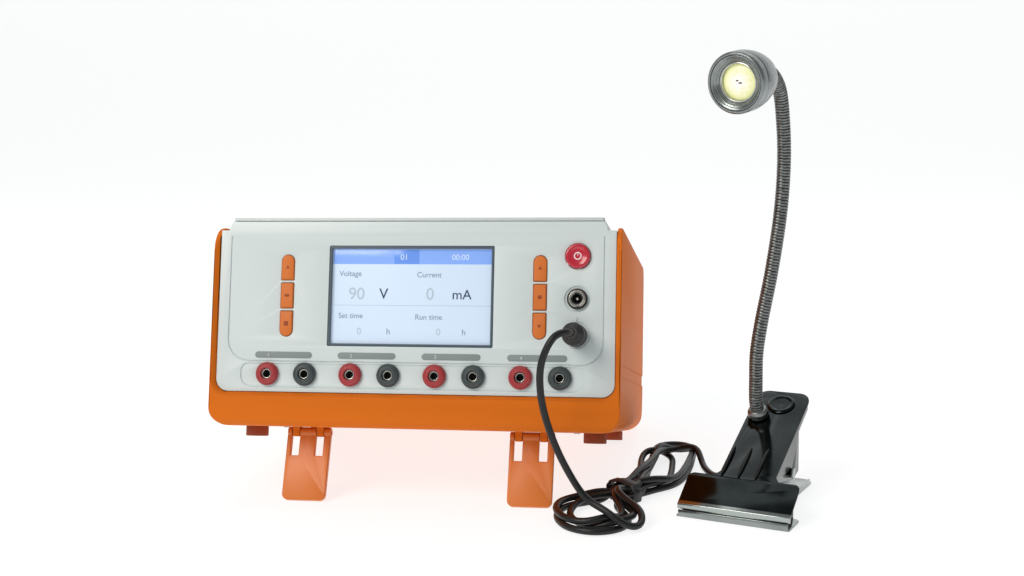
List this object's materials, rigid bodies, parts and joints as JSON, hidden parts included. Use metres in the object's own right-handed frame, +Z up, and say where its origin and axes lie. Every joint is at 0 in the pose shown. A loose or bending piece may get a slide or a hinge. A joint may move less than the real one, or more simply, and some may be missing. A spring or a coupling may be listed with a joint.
{
  "type": "electrophoresis power supply",
  "caption": "Benchtop electrophoresis power supply: tilted case on fold-out legs, keys, screen and output sockets, with a plug-in gooseneck clip lamp and its coiled lead.",
  "frame": {"origin": "on the bench, under the middle of the bounding box of the power supply and lamp without the lamp's free lead", "axes": "+X to the right along the case's front, +Y from the front panel to the back, +Z up"},
  "size_m": [0.3876, 0.3079, 0.2852],
  "materials": {
    "orange_plastic": "satin moulded",
    "panel_grey": "fine satin",
    "cover_grey": "fine satin",
    "rear_metal": "satin",
    "black_plastic": "fine matte",
    "screen": "lit display behind clear cover",
    "key_orange": "satin membrane",
    "button_red": "smooth",
    "socket_red": "smooth",
    "socket_black": "smooth",
    "foot_rubber": "matte",
    "steel": "bright",
    "circuit_board": "solder mask",
    "transformer_iron": "laminated",
    "chrome": "mirror plated",
    "clip_rubber": "soft pad",
    "gooseneck": "wound hose",
    "head_aluminium": "turned",
    "lens": "clear diffusing",
    "led_board": "white solder mask",
    "cord_black": "satin sheath"
  },
  "bodies": {
    "base": {"case_shell": "orange_plastic", "front_panel": "panel_grey", "top_cover": "cover_grey", "rear_panel": "rear_metal", "mains_inlet": "black_plastic", "screen_bezel": "black_plastic", "display_module": "screen", "power_switch": "black_plastic", "jack_upper": "black_plastic", "jack_upper_nut": "steel", "jack_lower": "black_plastic", "jack_lower_nut": "steel", "socket_red_1": "socket_red", "socket_black_1": "socket_black", "socket_red_2": "socket_red", "socket_black_2": "socket_black", "socket_red_3": "socket_red", "socket_black_3": "socket_black", "socket_red_4": "socket_red", "socket_black_4": "socket_black", "foot_front_left": "foot_rubber", "foot_front_right": "foot_rubber", "foot_rear_left": "foot_rubber", "foot_rear_right": "foot_rubber", "leg_pin_left": "steel", "leg_pin_right": "steel", "main_board": "circuit_board", "transformer": "transformer_iron", "front_board": "circuit_board", "cooling_fan": "black_plastic", "clip_lower_plate": "chrome", "clip_pin": "steel", "clip_spring": "steel", "clip_pad_lower": "clip_rubber", "lamp_plug": "black_plastic", "lead_to_plug": "cord_black", "lead_hank": "cord_black", "lead_tie": "cord_black", "lead_to_lamp": "cord_black"},
    "leg_left": {"leg_left": "orange_plastic"},
    "leg_right": {"leg_right": "orange_plastic"},
    "key_left_1": {"key_left_1": "key_orange"},
    "key_left_2": {"key_left_2": "key_orange"},
    "key_left_3": {"key_left_3": "key_orange"},
    "key_right_1": {"key_right_1": "key_orange"},
    "key_right_2": {"key_right_2": "key_orange"},
    "key_right_3": {"key_right_3": "key_orange"},
    "power_button": {"power_button": "button_red"},
    "clip_jaw": {"clip_upper_plate": "chrome", "clip_pad_upper": "clip_rubber", "neck_ferrule": "chrome", "neck_1": "gooseneck"},
    "neck_2": {"neck_2": "gooseneck"},
    "neck_3": {"neck_3": "gooseneck"},
    "neck_4": {"neck_4": "gooseneck"},
    "neck_5": {"neck_5": "gooseneck"},
    "lamp_head": {"lamp_head": "head_aluminium", "lamp_front_ring": "head_aluminium", "lamp_lens": "lens", "led_board": "led_board"}
  },
  "joints": [
    {"name": "leg_left_fold", "type": "hinge", "parent": "base", "child": "leg_left", "pos_m": [-0.13517, -0.09288, 0.04142], "axis": [1, 0, 0], "range_deg": [0, 102]},
    {"name": "leg_right_fold", "type": "hinge", "parent": "base", "child": "leg_right", "pos_m": [0.01363, -0.09288, 0.04142], "axis": [1, 0, 0], "range_deg": [0, 102]},
    {"name": "key_left_1_press", "type": "slide", "parent": "base", "child": "key_left_1", "axis": [0, 0.972, -0.2351], "range_m": [0, 0.0012], "stiffness_N_per_m": 500},
    {"name": "key_left_2_press", "type": "slide", "parent": "base", "child": "key_left_2", "axis": [0, 0.972, -0.2351], "range_m": [0, 0.0012], "stiffness_N_per_m": 500},
    {"name": "key_left_3_press", "type": "slide", "parent": "base", "child": "key_left_3", "axis": [0, 0.972, -0.2351], "range_m": [0, 0.0012], "stiffness_N_per_m": 500},
    {"name": "key_right_1_press", "type": "slide", "parent": "base", "child": "key_right_1", "axis": [0, 0.972, -0.2351], "range_m": [0, 0.0012], "stiffness_N_per_m": 500},
    {"name": "key_right_2_press", "type": "slide", "parent": "base", "child": "key_right_2", "axis": [0, 0.972, -0.2351], "range_m": [0, 0.0012], "stiffness_N_per_m": 500},
    {"name": "key_right_3_press", "type": "slide", "parent": "base", "child": "key_right_3", "axis": [0, 0.972, -0.2351], "range_m": [0, 0.0012], "stiffness_N_per_m": 500},
    {"name": "power_button_press", "type": "slide", "parent": "base", "child": "power_button", "axis": [0, 0.972, -0.2351], "range_m": [0, 0.0018], "stiffness_N_per_m": 600},
    {"name": "clip_open", "type": "hinge", "parent": "base", "child": "clip_jaw", "pos_m": [0.16133, -0.07686, 0.0195], "axis": [-0.9397, 0.342, 0], "range_deg": [0, 22], "stiffness_Nm_per_rad": 1.2, "springref_deg": -34.38, "deforming": ["lead_to_lamp"]},
    {"name": "neck_bend_1", "type": "hinge", "parent": "clip_jaw", "child": "neck_2", "pos_m": [0.157, -0.06605, 0.10046], "axis": [0.9917, 0.0046, -0.1285], "range_deg": [-20, 20]},
    {"name": "neck_bend_2", "type": "hinge", "parent": "neck_2", "child": "neck_3", "pos_m": [0.16513, -0.06418, 0.14639], "axis": [-0.011, 0.9977, -0.0665], "range_deg": [-20, 20]},
    {"name": "neck_bend_3", "type": "hinge", "parent": "neck_3", "child": "neck_4", "pos_m": [0.1712, -0.06078, 0.19257], "axis": [0.997, -0.0035, -0.0773], "range_deg": [-20, 20]},
    {"name": "neck_bend_4", "type": "hinge", "parent": "neck_4", "child": "neck_5", "pos_m": [0.1714, -0.06365, 0.23901], "axis": [-0.0183, 0.9744, 0.2243], "range_deg": [-20, 20]},
    {"name": "head_nod", "type": "hinge", "parent": "neck_5", "child": "lamp_head", "pos_m": [0.1596, -0.08847, 0.27056], "axis": [0.8882, -0.4594, 0], "range_deg": [-20, 20]}
  ]
}
